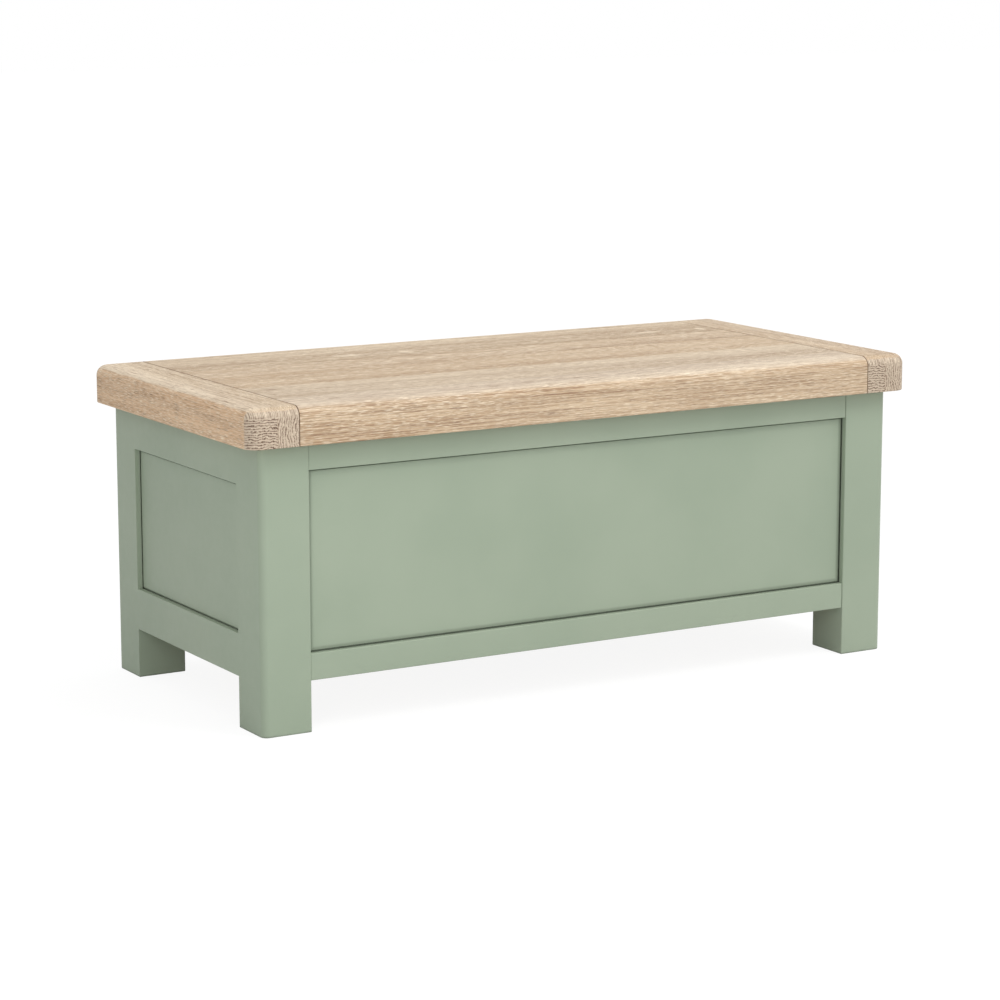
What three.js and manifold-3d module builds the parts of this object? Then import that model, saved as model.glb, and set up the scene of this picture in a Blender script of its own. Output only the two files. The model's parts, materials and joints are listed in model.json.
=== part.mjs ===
import * as THREE from 'three';
import { mergeVertices } from 'three/addons/utils/BufferGeometryUtils.js';
import Module from 'manifold-3d';

// Blanket chest: a painted case of four corner posts, tenoned rails and loose panels, under a bleached
// oak lid with breadboard ends. The lid swings on two butt hinges, and a slotted stay at each end
// stops it just past upright. Millimetres, +X to the right, -Y to the front, +Z up. The origin is on
// the floor, under the middle of the lid.

// Case
const caseWidth = 1050;
const caseDepth = 484;
const postSize = 74;
const postHeight = 399;
const postCornerRadius = 10;
const footHeight = 72;
const arrisRadius = 1.5;

// Rails and panels
const railThickness = 24;
const frontRailSetback = 1.5;
const longTopRailHeight = 35.5;
const longBottomRailHeight = 38;
const endTopRailHeight = 58.5;
const endBottomRailHeight = 61;
const tenonThickness = 9;
const tenonLength = 30;
const tenonShoulder = 4;
const panelThickness = 10;
const panelRecess = 8;
const panelInsert = 8;

// Base board and the cleats under it
const baseThickness = 9;
const cleatThickness = 18;
const cleatHeight = 18;
const cleatRise = 2;

// Lid
const lidThickness = 55;
const lidOverhangEnd = 25;
const lidOverhangFront = 20;
const lidOverhangBack = 18;
const lidGap = 2;
const lidCornerRadius = 21;
const lidEdgeRadius = 15;
const capWidth = 75;
const capSeam = 0.8;
const boardWidths = [74, 107, 113, 79];
const boardThickness = 24;
const thickEdgeWidth = 74;
const tongueThickness = 8;
const tongueLength = 12;
const tongueStop = 24;
const bumperRadius = 6;

// Hinges
const hingeInset = 101;
const hingeLength = 76;
const leafWidth = 20;
const leafThickness = 2;
const leafSpacing = 1;
const leafCornerRadius = 3;
const hingeAxisOffset = 4;
const knuckleCount = 5;
const knuckleRadius = 3.5;
const pinRadius = 1.5;
const pinHeadRadius = 3;
const pinHeadLength = 2;
const leafHoleCount = 3;
const leafHoleSpacing = 27;
const leafHoleStagger = 3;

// Countersunk screw holes in the metal pieces
const screwShankRadius = 2;
const screwHeadRadius = 3.8;

// Stays
const lidOpenAngle = THREE.MathUtils.degToRad(92);
const stayPostGap = 56;
const stayPivotDrop = 14;
const stayClosedSpan = 16;
const armWidth = 14;
const armThickness = 2;
const armEndMargin = 8;
const studRadius = 3;
const studHeadRadius = 5.5;
const studHeadThickness = 2;
const studPlateLength = 46;
const studPlateHeight = 16;
const studPlateThickness = 2;
const studPlateCornerRadius = 3;
const studPlateHoleSpread = 32;
const rivetRadius = 2.5;
const rivetHeadRadius = 4.5;
const rivetHeadThickness = 1.2;
const bracketLength = 44;
const bracketDepth = 26;
const bracketThickness = 2;
const bracketHoleSpread = 28;

// Clearances
const glueLine = 0.1;
const fitGap = 0.3;
const slotGap = 0.5;
const overrun = 5;

// Facets of a quarter round, of a turned piece, and of a rivet's dome from tip to rim
const quarterSteps = 6;
const turnSteps = 20;
const domeSteps = 3;

// Worked out from the above
const lidWidth = caseWidth + 2 * lidOverhangEnd;
const lidDepth = caseDepth + lidOverhangFront + lidOverhangBack;
const lidUnderside = postHeight + lidGap;
const caseOffset = (lidOverhangFront - lidOverhangBack) / 2;
const fieldHalf = lidWidth / 2 - capWidth;
const grooveFront = panelRecess - fitGap;
const grooveBack = panelRecess + panelThickness + fitGap;
const grooveDepth = panelInsert + fitGap;
const tenonFace = panelRecess + (panelThickness - tenonThickness) / 2;
const hingeAxisY = caseOffset + caseDepth / 2 + hingeAxisOffset;
const hingeAxisZ = postHeight + lidGap / 2;
const hingeX = caseWidth / 2 - postSize - hingeInset;

// Materials
const sagePaint = new THREE.MeshStandardMaterial({ color: 0xa3ae99, roughness: 0.5, metalness: 0 });
const plainWood = new THREE.MeshStandardMaterial({ color: 0xc9b48f, roughness: 0.7, metalness: 0 });
const bleachedOak = new THREE.MeshStandardMaterial({ color: 0xd4b997, roughness: 0.65, metalness: 0 });
const agedBrass = new THREE.MeshStandardMaterial({ color: 0xb0935a, roughness: 0.35, metalness: 1 });
const palePad = new THREE.MeshStandardMaterial({ color: 0xd8d6cf, roughness: 0.6, metalness: 0 });

const wasm = await Module();
wasm.setup();

// A closed geometry as a solid that can be cut and joined
function solid(geometry) {
  const bare = geometry.clone();
  bare.deleteAttribute('normal');
  bare.deleteAttribute('uv');
  const merged = mergeVertices(bare);
  const index = merged.index.array;
  const faces = [];
  for (let i = 0; i < index.length; i += 3) {
    const [a, b, c] = index.slice(i, i + 3);
    if (a !== b && b !== c && c !== a) faces.push(a, b, c);
  }
  return new wasm.Manifold(new wasm.Mesh({
    numProp: 3,
    vertProperties: merged.attributes.position.array,
    triVerts: Uint32Array.from(faces),
  }));
}

function geometryOf(body) {
  const mesh = body.getMesh();
  const geometry = new THREE.BufferGeometry();
  geometry.setAttribute('position', new THREE.BufferAttribute(mesh.vertProperties, 3));
  geometry.setIndex(new THREE.BufferAttribute(mesh.triVerts, 1));
  geometry.computeVertexNormals();
  return geometry;
}

function cut(body, tools) {
  return tools.reduce((rest, tool) => rest.subtract(tool), body);
}

function join(bodies) {
  return bodies.reduce((whole, body) => whole.add(body));
}

// A box between two limits on each axis
function box([x0, x1], [y0, y1], [z0, z1]) {
  const geometry = new THREE.BoxGeometry(x1 - x0, y1 - y0, z1 - z0);
  return geometry.translate((x0 + x1) / 2, (y0 + y1) / 2, (z0 + z1) / 2);
}

// A polygon whose corners, given as [x, y, radius], are rounded by arcs where the radius isn't zero
function rounded(corners) {
  const outline = new THREE.Shape();
  corners.forEach(([x, y, radius], i) => {
    const corner = new THREE.Vector2(x, y);
    if (radius > 0) {
      const before = new THREE.Vector2(...corners.at(i - 1)).sub(corner).normalize();
      const after = new THREE.Vector2(...corners[(i + 1) % corners.length]).sub(corner).normalize();
      const half = Math.acos(before.dot(after)) / 2;
      const start = corner.clone().addScaledVector(before, radius / Math.tan(half));
      const end = corner.clone().addScaledVector(after, radius / Math.tan(half));
      const bisector = before.clone().add(after).normalize();
      const centre = corner.clone().addScaledVector(bisector, radius / Math.sin(half));
      const from = start.sub(centre).angle();
      const to = end.sub(centre).angle();
      outline.absarc(centre.x, centre.y, radius, from, to, before.cross(after) > 0);
    } else if (i === 0) {
      outline.moveTo(x, y);
    } else {
      outline.lineTo(x, y);
    }
  });
  return outline;
}

// An upright strip with round ends, from a low to a high centre
function stripOutline(low, high, radius) {
  const outline = new THREE.Shape();
  for (let quarter = 0; quarter < 4; quarter += 1) {
    const start = quarter * Math.PI / 2;
    outline.absarc(0, quarter < 2 ? high : low, radius, start, start + Math.PI / 2, false);
  }
  return outline;
}

function extruded(shape, depth) {
  return new THREE.ExtrudeGeometry(shape, { depth, bevelEnabled: false, curveSegments: quarterSteps / 2 });
}

// Turns an extrusion so that its outline stands in the YZ plane and its depth runs along +X
const alongX = new THREE.Matrix4().makeBasis(
  new THREE.Vector3(0, 1, 0),
  new THREE.Vector3(0, 0, 1),
  new THREE.Vector3(1, 0, 0),
);

// A plate whose outline stands in the YZ plane, between two places on X
function uprightPlate(shape, x0, x1) {
  return extruded(shape, x1 - x0).applyMatrix4(alongX).translate(x0, 0, 0);
}

// A turned piece along +X, from a profile of [along, radius] pairs that starts and ends on its axis
function turned(profile) {
  const points = profile.map(([along, radius]) => new THREE.Vector2(radius, along));
  return new THREE.LatheGeometry(points, turnSteps).rotateZ(-Math.PI / 2);
}

function rod(radius, from, to) {
  return turned([[from, 0], [from, radius], [to, radius], [to, 0]]);
}

// The profile of a domed head, from its tip on the axis to its rim; a negative length points it back
function dome(base, length, radius) {
  const points = [];
  for (let step = 0; step <= domeSteps; step += 1) {
    const angle = step / domeSteps * Math.PI / 2;
    points.push([base + length * Math.cos(angle), radius * Math.sin(angle)]);
  }
  return points;
}

// The tool for a countersunk hole through a plate: it enters at 0 and leaves at the mouth
function screwTool(thickness) {
  const sinkStart = thickness - (screwHeadRadius - screwShankRadius);
  return turned([
    [-overrun, 0],
    [-overrun, screwShankRadius],
    [sinkStart, screwShankRadius],
    [thickness, screwHeadRadius],
    [thickness + overrun, screwHeadRadius],
    [thickness + overrun, 0],
  ]);
}

function place(name, geometry, material, x = 0, y = 0, z = 0) {
  const mesh = new THREE.Mesh(geometry, material);
  mesh.name = name;
  mesh.position.set(x, y, z);
  return mesh;
}

// The four sides of the case. Each is described looking at it from outside, with its outer face at
// y = 0 and the chest behind it, then turned to its place.
function caseSide(name, turn, run, reach, setback, topHeight, bottomHeight) {
  const bottomTop = footHeight + bottomHeight;
  const topBottom = postHeight - topHeight;
  return { name, turn, run, reach, setback, topHeight, bottomHeight, bottomTop, topBottom };
}

const longRun = caseWidth - 2 * postSize;
const endRun = caseDepth - 2 * postSize;
const front = caseSide('front', 0, longRun, caseDepth / 2, frontRailSetback, longTopRailHeight,
  longBottomRailHeight);
const back = caseSide('back', Math.PI, longRun, caseDepth / 2, 0, longTopRailHeight, longBottomRailHeight);
const left = caseSide('left', -Math.PI / 2, endRun, caseWidth / 2, 0, endTopRailHeight, endBottomRailHeight);
const right = caseSide('right', Math.PI / 2, endRun, caseWidth / 2, 0, endTopRailHeight,
  endBottomRailHeight);
const sides = [front, back, left, right];

// Where a rail's tenons lie in its height: they keep off the panel groove in one of its edges
function tenonSpan(height, grooveAtTop) {
  const low = grooveAtTop ? tenonShoulder : grooveDepth + tenonShoulder;
  const high = height - (grooveAtTop ? grooveDepth + tenonShoulder : tenonShoulder);
  return [low, high];
}

function railSolid(side, height, grooveAtTop) {
  const edge = grooveAtTop ? height : 0;
  const floor = grooveAtTop ? height - grooveDepth : grooveDepth;
  const groove = [
    [grooveBack, edge, 0],
    [grooveBack, floor, 0],
    [grooveFront, floor, 0],
    [grooveFront, edge, 0],
  ];
  const plain = height - edge;
  const section = rounded([
    [0, plain, arrisRadius],
    [railThickness, plain, arrisRadius],
    [railThickness, edge, arrisRadius],
    ...groove,
    [0, edge, arrisRadius],
  ]);
  const half = side.run / 2 - glueLine;
  const reach = side.run / 2 + tenonLength;
  const body = uprightPlate(section, -half, half);
  const tenonY = [tenonFace, tenonFace + tenonThickness];
  const tenons = box([-reach, reach], tenonY, tenonSpan(height, grooveAtTop));
  return join([solid(body), solid(tenons)]);
}

// What one side's rails and panel take out of the posts, in the frame of the case
function sideCuts(side) {
  const reach = side.run / 2 + tenonLength + fitGap;
  const tenonY = [tenonFace - fitGap, tenonFace + tenonThickness + fitGap];
  const [lowBottom, lowTop] = tenonSpan(side.bottomHeight, true);
  const [highBottom, highTop] = tenonSpan(side.topHeight, false);
  const panelReach = side.run / 2 + grooveDepth;
  const lowSpan = [footHeight + lowBottom - fitGap, footHeight + lowTop + fitGap];
  const highSpan = [side.topBottom + highBottom - fitGap, side.topBottom + highTop + fitGap];
  const panelSpan = [side.bottomTop - grooveDepth, side.topBottom + grooveDepth];
  const cuts = [
    box([-reach, reach], tenonY, lowSpan),
    box([-reach, reach], tenonY, highSpan),
    box([-panelReach, panelReach], [grooveFront, grooveBack], panelSpan),
  ];
  const outer = side.setback - side.reach;
  return cuts.map((geometry) => solid(geometry.translate(0, outer, 0).rotateZ(side.turn)));
}

// Posts: square, with a round outer corner and eased edges. The edge that meets an end rail stays
// sharp, because that rail is flush with it.
function buildPosts() {
  const posts = new THREE.Group();
  const cuts = sides.flatMap(sideCuts);
  const half = postSize / 2;
  const corners = [['front', -1], ['back', 1]];
  for (const [depthName, towardBack] of corners) {
    for (const [widthName, towardRight] of [['left', -1], ['right', 1]]) {
      const outline = rounded([
        [towardRight * half, towardBack * half, postCornerRadius],
        [-towardRight * half, towardBack * half, arrisRadius],
        [-towardRight * half, -towardBack * half, arrisRadius],
        [towardRight * half, -towardBack * half, 0],
      ]);
      const x = towardRight * (caseWidth / 2 - half);
      const y = towardBack * (caseDepth / 2 - half);
      const blank = extruded(outline, postHeight).translate(x, y, 0);
      const post = geometryOf(cut(solid(blank), cuts)).translate(-x, -y, 0);
      posts.add(place(`post_${depthName}_${widthName}`, post, sagePaint, x, y));
    }
  }
  return posts;
}

// The shallow mortises for the hinges' case leaves, in the frame of the back top rail
function caseLeafCuts() {
  const leafBottom = hingeAxisZ - leafSpacing / 2 - leafThickness;
  const floor = leafBottom - glueLine - back.topBottom;
  const half = hingeLength / 2 + fitGap;
  return [-1, 1].map((towardRight) => {
    const x = towardRight * hingeX;
    const bed = box([x - half, x + half], [-overrun, leafWidth + fitGap], [floor, back.topHeight + overrun]);
    return solid(bed);
  });
}

function buildSide(side) {
  const group = new THREE.Group();
  const outer = side.setback - side.reach;
  const opening = side.topBottom - side.bottomTop;
  const isLong = side.run === longRun;
  const rail = isLong ? `${side.name}_rail` : `end_rail_${side.name}`;
  const panel = isLong ? `${side.name}_panel` : `end_panel_${side.name}`;
  const cuts = side === back ? caseLeafCuts() : [];
  const topRail = geometryOf(cut(railSolid(side, side.topHeight, false), cuts));
  const bottomRail = geometryOf(railSolid(side, side.bottomHeight, true));
  group.add(place(`${rail}_top`, topRail, sagePaint, 0, outer, side.topBottom));
  group.add(place(`${rail}_bottom`, bottomRail, sagePaint, 0, outer, footHeight));

  const panelHalf = side.run / 2 + panelInsert;
  const panelZ = [-panelInsert, opening + panelInsert];
  const panelBoard = box([-panelHalf, panelHalf], [0, panelThickness], panelZ);
  group.add(place(panel, panelBoard, sagePaint, 0, outer + panelRecess, side.bottomTop));

  const cleatHalf = side.run / 2 - fitGap;
  const cleat = box([-cleatHalf, cleatHalf], [0, cleatThickness], [0, cleatHeight]);
  const cleatY = outer + railThickness + glueLine;
  group.add(place(`base_cleat_${side.name}`, cleat, plainWood, 0, cleatY, footHeight + cleatRise));
  group.rotation.z = side.turn;
  return group;
}

// Base board: plywood, notched round the posts, lying on the cleats
function buildBase() {
  const x = caseWidth / 2 - railThickness - fitGap;
  const yFront = -(caseDepth / 2 - frontRailSetback - railThickness - fitGap);
  const yBack = caseDepth / 2 - railThickness - fitGap;
  const postX = caseWidth / 2 - postSize - fitGap;
  const postY = caseDepth / 2 - postSize - fitGap;
  const outline = rounded([
    [-postX, yFront, 0], [postX, yFront, 0], [postX, -postY, 0],
    [x, -postY, 0], [x, postY, 0], [postX, postY, 0],
    [postX, yBack, 0], [-postX, yBack, 0], [-postX, postY, 0],
    [-x, postY, 0], [-x, -postY, 0], [-postX, -postY, 0],
  ]);
  const z = footHeight + cleatRise + cleatHeight + glueLine;
  return place('base_board', extruded(outline, baseThickness), plainWood, 0, 0, z);
}

function buildBumpers() {
  const bumpers = new THREE.Group();
  const pad = new THREE.CylinderGeometry(bumperRadius, bumperRadius, lidGap - fitGap - glueLine, turnSteps);
  pad.rotateX(Math.PI / 2).translate(0, 0, (lidGap - fitGap + glueLine) / 2);
  for (const [name, towardRight] of [['left', -1], ['right', 1]]) {
    const x = towardRight * (caseWidth - postSize) / 2;
    bumpers.add(place(`lid_bumper_${name}`, pad, palePad, x, -(caseDepth - postSize) / 2, postHeight));
  }
  return bumpers;
}

// One level of the lid's rounded slab: its outline drawn in by an inset, at a height
function slabRing(inset, height) {
  const radius = lidCornerRadius - inset;
  const ring = [];
  const centres = [[1, 1], [-1, 1], [-1, -1], [1, -1]];
  centres.forEach(([towardRight, towardBack], corner) => {
    for (let step = 0; step <= quarterSteps; step += 1) {
      const angle = (corner + step / quarterSteps) * Math.PI / 2;
      const x = towardRight * (lidWidth / 2 - lidCornerRadius) + radius * Math.cos(angle);
      const y = towardBack * (lidDepth / 2 - lidCornerRadius) + radius * Math.sin(angle);
      ring.push(new THREE.Vector3(x, y, height));
    }
  });
  return ring;
}

// A closed skin over rings of as many points each, from the lowest to the highest
function loft(rings) {
  const count = rings[0].length;
  const middles = [rings[0], rings.at(-1)].map((ring) => new THREE.Vector3(0, 0, ring[0].z));
  const points = [...rings.flat(), ...middles];
  const [bottomMiddle, topMiddle] = [points.length - 2, points.length - 1];
  const faces = [];
  for (let level = 0; level < rings.length - 1; level += 1) {
    for (let i = 0; i < count; i += 1) {
      const a = level * count + i;
      const b = level * count + (i + 1) % count;
      faces.push(a, b, b + count, a, b + count, a + count);
    }
  }
  const top = (rings.length - 1) * count;
  for (let i = 0; i < count; i += 1) {
    const next = (i + 1) % count;
    faces.push(bottomMiddle, next, i, topMiddle, top + i, top + next);
  }
  return new THREE.BufferGeometry().setFromPoints(points).setIndex(faces);
}

function lidSlab() {
  const rings = [];
  const arrisSteps = quarterSteps / 2;
  for (let step = 0; step <= arrisSteps; step += 1) {
    const angle = step / arrisSteps * Math.PI / 2;
    rings.push(slabRing(arrisRadius * (1 - Math.sin(angle)), arrisRadius * (1 - Math.cos(angle))));
  }
  for (let step = 0; step <= quarterSteps; step += 1) {
    const angle = step / quarterSteps * Math.PI / 2;
    const height = lidThickness - lidEdgeRadius * (1 - Math.sin(angle));
    rings.push(slabRing(lidEdgeRadius * (1 - Math.cos(angle)), height));
  }
  return solid(loft(rings));
}

// What the hinges take out of the lid's underside: a bed for each leaf, and a trough for its knuckles
function lidHingeCuts() {
  const axisZ = hingeAxisZ - lidUnderside;
  const leafTop = axisZ + leafSpacing / 2 + leafThickness + glueLine;
  const troughHalf = knuckleRadius + 2 * fitGap;
  const tools = [];
  for (const towardRight of [-1, 1]) {
    const x = towardRight * hingeX;
    const leafHalf = hingeLength / 2 + fitGap;
    const pinHalf = hingeLength / 2 + pinHeadLength + 2 * fitGap;
    const plateBack = hingeAxisY - hingeAxisOffset;
    const bed = box([x - leafHalf, x + leafHalf], [plateBack - leafWidth - fitGap, hingeAxisY],
      [-overrun, leafTop]);
    const trough = box([x - pinHalf, x + pinHalf], [hingeAxisY - troughHalf, hingeAxisY + troughHalf],
      [-overrun, axisZ + troughHalf]);
    tools.push(solid(bed), solid(trough));
  }
  return tools;
}

// Lid: boards running end to end, at full thickness along the front and back edges and thinner between,
// with tongues that enter a stopped groove in a full-thickness cap across each end
function buildLid() {
  const lid = new THREE.Group();
  lid.position.z = lidUnderside;
  const slab = lidSlab();
  const boardHalf = fieldHalf - capSeam;
  const boardUnderside = lidThickness - boardThickness;
  const tongueMiddle = lidThickness - boardThickness / 2;
  const tongueZ = [tongueMiddle - tongueThickness / 2, tongueMiddle + tongueThickness / 2];
  const tongueY = lidDepth / 2 - tongueStop;
  const thickFrom = lidDepth / 2 - thickEdgeWidth;
  const hollow = box([-lidWidth, lidWidth], [-thickFrom, thickFrom], [-overrun, boardUnderside]);
  const cuts = [solid(hollow), ...lidHingeCuts()];
  const joints = [-lidDepth / 2];
  boardWidths.forEach((width) => joints.push(joints.at(-1) + width));
  joints.forEach((joint, i) => {
    const low = i === 0 ? joint - overrun : joint + glueLine / 2;
    const high = i === boardWidths.length ? lidDepth / 2 + overrun : joints[i + 1] - glueLine / 2;
    const region = box([-boardHalf, boardHalf], [low, high], [-overrun, lidThickness + overrun]);
    const reach = fieldHalf + tongueLength;
    const tongue = box([-reach, reach], [Math.max(low, -tongueY), Math.min(high, tongueY)], tongueZ);
    const board = cut(slab.intersect(solid(region)), cuts);
    lid.add(place(`lid_board_${i + 1}`, geometryOf(join([board, solid(tongue)])), bleachedOak));
  });
  for (const [name, towardRight] of [['left', -1], ['right', 1]]) {
    const span = (from, to) => (towardRight > 0 ? [from, to] : [-to, -from]);
    const capX = span(fieldHalf, lidWidth / 2 + overrun);
    const grooveX = span(fieldHalf - overrun, fieldHalf + tongueLength + fitGap);
    const grooveY = [-tongueY - fitGap, tongueY + fitGap];
    const region = box(capX, [-lidDepth, lidDepth], [-overrun, lidThickness + overrun]);
    const groove = box(grooveX, grooveY, [tongueZ[0] - fitGap, tongueZ[1] + fitGap]);
    const cap = slab.intersect(solid(region)).subtract(solid(groove));
    lid.add(place(`lid_cap_${name}`, geometryOf(cap), bleachedOak));
  }
  return lid;
}

// A hinge leaf about the hinge's own axis, its plate toward -Y. The case leaf lies below the axis and
// has the odd knuckles; the lid leaf lies above it and has the even ones.
function leafGeometry(side) {
  const far = leafSpacing / 2 + leafThickness;
  const plateZ = side > 0 ? [leafSpacing / 2, far] : [-far, -leafSpacing / 2];
  const half = hingeLength / 2;
  const outline = rounded([
    [half, -hingeAxisOffset, 0],
    [-half, -hingeAxisOffset, 0],
    [-half, -hingeAxisOffset - leafWidth, leafCornerRadius],
    [half, -hingeAxisOffset - leafWidth, leafCornerRadius],
  ]);
  const parts = [solid(extruded(outline, leafThickness).translate(0, 0, plateZ[0]))];
  const pitch = hingeLength / knuckleCount;
  for (let i = 0; i < knuckleCount; i += 1) {
    if ((i % 2 === 0) === (side < 0)) {
      const x0 = i * pitch - half + fitGap / 2;
      const x1 = (i + 1) * pitch - half - fitGap / 2;
      parts.push(solid(rod(knuckleRadius, x0, x1)));
      parts.push(solid(box([x0, x1], [-hingeAxisOffset - leafThickness, 0], plateZ)));
    }
  }
  const tools = [solid(rod(pinRadius + fitGap, -hingeLength, hingeLength))];
  for (let i = 0; i < leafHoleCount; i += 1) {
    const x = (i - (leafHoleCount - 1) / 2) * leafHoleSpacing;
    const y = -hingeAxisOffset - leafWidth / 2 + (i % 2 === 0 ? -leafHoleStagger : leafHoleStagger);
    tools.push(solid(screwTool(leafThickness).rotateY(side * Math.PI / 2).translate(x, y, side * far)));
  }
  return geometryOf(cut(join(parts), tools));
}

function pinGeometry() {
  const half = hingeLength / 2 + fitGap;
  return turned([
    ...dome(-half, -pinHeadLength, pinHeadRadius),
    [-half, pinRadius],
    [half, pinRadius],
    ...dome(half, pinHeadLength, pinHeadRadius).reverse(),
  ]);
}

function buildHinges() {
  const hinges = new THREE.Group();
  hinges.position.set(0, hingeAxisY, hingeAxisZ);
  for (const [name, towardRight] of [['left', -1], ['right', 1]]) {
    const x = towardRight * hingeX;
    hinges.add(place(`hinge_case_leaf_${name}`, leafGeometry(-1), agedBrass, x));
    hinges.add(place(`hinge_lid_leaf_${name}`, leafGeometry(1), agedBrass, x));
    hinges.add(place(`hinge_pin_${name}`, pinGeometry(), agedBrass, x));
  }
  return hinges;
}

// Stays. The arm's pivot on the lid and the stud it slides on are equally far from the hinge axis, so
// the arm always turns half as far as the lid. Its slot ends where the lid is fully open.
const stayRadius = hingeAxisOffset + postSize + stayPostGap;
const pivotAngle = -Math.asin((stayPivotDrop - lidGap / 2) / stayRadius);
const spanAngle = 2 * Math.asin(stayClosedSpan / 2 / stayRadius);
const openSpan = 2 * stayRadius * Math.sin((spanAngle + lidOpenAngle) / 2);

// A place at the stays' radius, by its angle above the level through the hinge axis
function aroundHinge(angle) {
  const y = hingeAxisY - stayRadius * Math.cos(angle);
  return new THREE.Vector3(0, y, hingeAxisZ + stayRadius * Math.sin(angle));
}

// Depths inward from the inner face of an end rail
const armFace = glueLine + studPlateThickness + slotGap;
const armBack = armFace + armThickness;
const bracketFace = armBack + fitGap;
const bracketBack = bracketFace + bracketThickness;

// The arm, hanging straight down from its pivot
function armGeometry(across) {
  const lowest = openSpan + studRadius + slotGap + armEndMargin;
  const outline = stripOutline(armWidth / 2 - lowest, 0, armWidth / 2);
  outline.holes.push(stripOutline(-openSpan, -stayClosedSpan, studRadius + slotGap));
  const eye = rod(rivetRadius + fitGap, -armWidth, armWidth);
  return geometryOf(cut(solid(uprightPlate(outline, ...across(armFace, armBack))), [solid(eye)]));
}

// An angle bracket about the arm's pivot: a tapered leg, and a flange screwed up into the lid
function bracketGeometry(across, inward) {
  const top = stayPivotDrop - glueLine;
  const eye = armWidth / 2;
  const half = bracketLength / 2;
  const leg = rounded([[half, top, 0], [-half, top, 0], [-eye, -eye, eye], [eye, -eye, eye]]);
  const flangeX = across(bracketFace, bracketFace + bracketDepth);
  const flange = box(flangeX, [-half, half], [top - bracketThickness, top]);
  const whole = join([solid(uprightPlate(leg, ...across(bracketFace, bracketBack))), solid(flange)]);
  const holeX = inward(bracketFace + (bracketDepth + bracketThickness) / 2);
  const tools = [solid(rod(rivetRadius + fitGap, ...across(bracketFace - overrun, bracketBack + overrun)))];
  for (const y of [-bracketHoleSpread / 2, bracketHoleSpread / 2]) {
    tools.push(solid(screwTool(bracketThickness).rotateY(Math.PI / 2).translate(holeX, y, top)));
  }
  return geometryOf(cut(whole, tools));
}

function rivetGeometry() {
  const low = armFace - fitGap;
  const high = bracketBack + fitGap;
  return turned([
    ...dome(low, -rivetHeadThickness, rivetHeadRadius),
    [low, rivetRadius],
    [high, rivetRadius],
    ...dome(high, rivetHeadThickness, rivetHeadRadius).reverse(),
  ]);
}

// The stud and the plate that it is riveted to, about the stud's axis
function studGeometry(across, turn) {
  const half = studPlateLength / 2;
  const high = studPlateHeight / 2;
  const outline = rounded([
    [half, high, studPlateCornerRadius],
    [-half, high, studPlateCornerRadius],
    [-half, -high, studPlateCornerRadius],
    [half, -high, studPlateCornerRadius],
  ]);
  const plate = uprightPlate(outline, ...across(glueLine, glueLine + studPlateThickness));
  const headFace = armBack + fitGap;
  const stud = turned([
    [glueLine + studPlateThickness / 2, 0],
    [glueLine + studPlateThickness / 2, studRadius],
    [headFace, studRadius],
    ...dome(headFace, studHeadThickness, studHeadRadius).reverse(),
  ]).rotateZ(turn);
  const tools = [-1, 1].map((end) => {
    const tool = screwTool(studPlateThickness).translate(glueLine, 0, 0).rotateZ(turn);
    return solid(tool.translate(0, end * studPlateHoleSpread / 2, 0));
  });
  return geometryOf(cut(join([solid(plate), solid(stud)]), tools));
}

function buildStays() {
  const stays = new THREE.Group();
  const pivot = aroundHinge(pivotAngle);
  const stud = aroundHinge(pivotAngle - spanAngle);
  const lean = Math.atan2(stud.y - pivot.y, pivot.z - stud.z);
  for (const [name, towardRight] of [['left', -1], ['right', 1]]) {
    const railInner = towardRight * (caseWidth / 2 - railThickness);
    const inward = (depth) => -towardRight * depth;
    const across = (a, b) => [Math.min(inward(a), inward(b)), Math.max(inward(a), inward(b))];
    const turn = towardRight > 0 ? Math.PI : 0;
    const arm = armGeometry(across).rotateX(lean);
    const bracket = bracketGeometry(across, inward);
    const rivet = rivetGeometry().rotateZ(turn);
    stays.add(place(`stay_arm_${name}`, arm, agedBrass, railInner, pivot.y, pivot.z));
    stays.add(place(`stay_bracket_${name}`, bracket, agedBrass, railInner, pivot.y, pivot.z));
    stays.add(place(`stay_rivet_${name}`, rivet, agedBrass, railInner, pivot.y, pivot.z));
    stays.add(place(`stay_stud_${name}`, studGeometry(across, turn), agedBrass, railInner, stud.y, stud.z));
  }
  return stays;
}

const chest = new THREE.Group();
const body = new THREE.Group();
body.position.y = caseOffset;
body.add(buildPosts(), ...sides.map(buildSide), buildBase(), buildBumpers());
chest.add(body, buildLid(), buildHinges(), buildStays());

export default chest;
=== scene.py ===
import json
import math

import bmesh
import bpy
from mathutils import Matrix, Vector

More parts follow.
